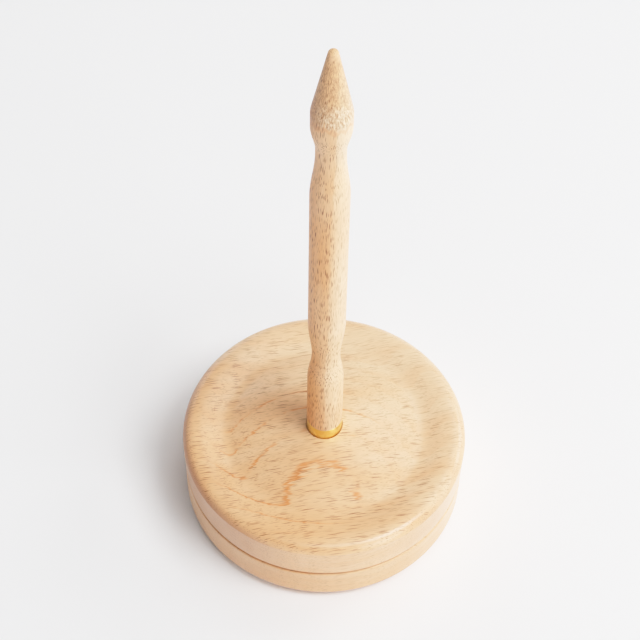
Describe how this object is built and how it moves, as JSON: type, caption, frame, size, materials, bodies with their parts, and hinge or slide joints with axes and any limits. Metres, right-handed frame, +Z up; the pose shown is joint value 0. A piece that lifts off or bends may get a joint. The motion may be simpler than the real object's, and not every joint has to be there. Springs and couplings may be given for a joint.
{
  "type": "spinning yarn holder",
  "caption": "Turned wooden yarn ball holder: a dish spins on a round base on a ball bearing and carries a pointed spindle that screws into its middle through a brass ferrule.",
  "frame": {"origin": "on the spin axis, at the level that the rubber feet stand on", "axes": "+Z up along the spin axis and the spindle, +Y away from the viewer of the picture, +X to the right"},
  "size_m": [0.12, 0.12, 0.2659],
  "materials": {
    "base_beech": "fine sanded, oiled satin",
    "dish_beech": "fine sanded, oiled satin",
    "spindle_beech": "fine sanded, oiled satin",
    "ferrule_brass": "turned and polished",
    "insert_brass": "turned",
    "bearing_steel": "ground bright",
    "plated_steel": "zinc plated",
    "cage_nylon": "moulded",
    "cap_plastic": "fine moulded grain",
    "foot_rubber": "matte moulded"
  },
  "bodies": {
    "base": {"base_disc": "base_beech", "rubber_foot_1": "foot_rubber", "rubber_foot_2": "foot_rubber", "rubber_foot_3": "foot_rubber", "rubber_foot_4": "foot_rubber", "bottom_cap": "cap_plastic", "bearing_outer_ring": "bearing_steel", "bearing_shield_lower": "bearing_steel", "bearing_shield_upper": "bearing_steel", "bearing_retainer": "plated_steel", "retainer_screws": "plated_steel"},
    "ball_train": {"bearing_cage": "cage_nylon", "bearing_ball_1": "bearing_steel", "bearing_ball_2": "bearing_steel", "bearing_ball_3": "bearing_steel", "bearing_ball_4": "bearing_steel", "bearing_ball_5": "bearing_steel", "bearing_ball_6": "bearing_steel", "bearing_ball_7": "bearing_steel"},
    "turntable": {"dish": "dish_beech", "threaded_insert": "insert_brass", "axle_bolt": "plated_steel", "head_washer": "plated_steel", "spacer_washer": "plated_steel", "bearing_inner_ring": "bearing_steel"},
    "ferrule": {"spindle_ferrule": "ferrule_brass"},
    "spindle": {"spindle": "spindle_beech", "spindle_stud": "plated_steel"}
  },
  "joints": [
    {"name": "dish_spin", "type": "hinge", "parent": "base", "child": "turntable", "pos_m": [0, 0, 0.0145], "axis": [0, 0, 1], "continuous": true},
    {"name": "ball_orbit", "type": "hinge", "parent": "base", "child": "ball_train", "pos_m": [0, 0, 0.0145], "axis": [0, 0, 1], "continuous": true},
    {"name": "spindle_rise", "type": "slide", "parent": "turntable", "child": "ferrule", "axis": [0, 0, 1], "range_m": [0, 0.01375]},
    {"name": "spindle_turn", "type": "hinge", "parent": "ferrule", "child": "spindle", "pos_m": [0, 0, 0.0419], "axis": [0, 0, 1], "range_deg": [0, 3961]}
  ],
  "couplings": [
    {"joint": "ball_orbit", "follows": "dish_spin", "ratio": 0.36767},
    {"joint": "spindle_turn", "follows": "spindle_rise", "rad_per_m": 5026.5}
  ]
}
